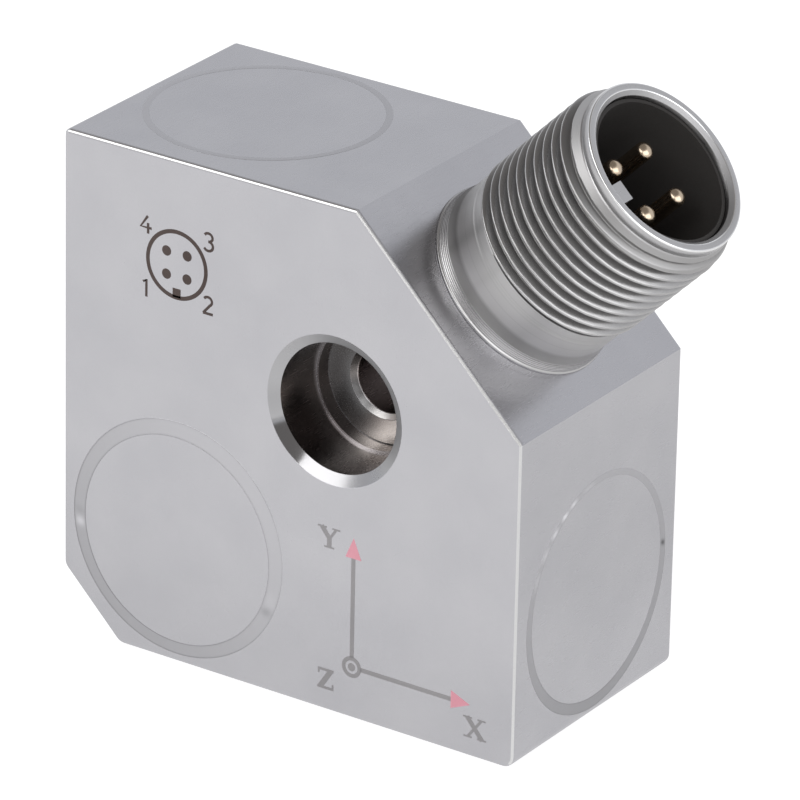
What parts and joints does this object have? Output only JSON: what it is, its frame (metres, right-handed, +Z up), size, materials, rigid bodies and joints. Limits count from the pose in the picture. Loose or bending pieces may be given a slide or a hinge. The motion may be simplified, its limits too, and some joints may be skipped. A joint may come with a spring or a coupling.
{
  "type": "vibration sensor",
  "caption": "Square steel vibration sensor block with a counterbored bolt hole, round welded covers on its measuring faces and a threaded male connector on a slanted corner face.",
  "frame": {"origin": "axis of the bolt hole at the mounting face (the back of the block)", "axes": "+Y out of the mounting face towards the machine, so the front face looks along -Y; +Z up, out of the face with the top cover; +X right, out of the face with the side cover; the connector leaves along (+X +Z)"},
  "size_m": [0.0518, 0.0223, 0.0518],
  "materials": {
    "stainless_steel": "satin ground stainless steel",
    "cover_steel": "satin ground stainless steel with a laser weld round its edge",
    "turned_steel": "turned stainless steel",
    "black_insert": "black insulating moulding",
    "gold_plate": "gold plated",
    "white_ceramic": "fired alumina",
    "piezo_ceramic": "ground piezo ceramic",
    "mass_metal": "ground heavy metal",
    "circuit_board": "green solder mask",
    "lead_insulation": "white insulated wire"
  },
  "bodies": {
    "root": {"housing_block": "stainless_steel", "z_cover": "cover_steel", "y_cover": "cover_steel", "x_cover": "cover_steel", "connector_shell": "turned_steel", "connector_insert": "black_insert", "contact_pin_1": "gold_plate", "contact_pin_2": "gold_plate", "contact_pin_3": "gold_plate", "contact_pin_4": "gold_plate", "z_insulator": "white_ceramic", "y_insulator": "white_ceramic", "x_insulator": "white_ceramic", "z_element_post": "turned_steel", "y_element_post": "turned_steel", "x_element_post": "turned_steel", "z_piezo_ring": "piezo_ceramic", "y_piezo_ring": "piezo_ceramic", "x_piezo_ring": "piezo_ceramic", "z_seismic_mass": "mass_metal", "y_seismic_mass": "mass_metal", "x_seismic_mass": "mass_metal", "z_amplifier_board": "circuit_board", "y_amplifier_board": "circuit_board", "x_amplifier_board": "circuit_board", "z_lead": "lead_insulation", "y_lead": "lead_insulation", "x_lead": "lead_insulation", "ground_link": "lead_insulation"}
  },
  "joints": []
}
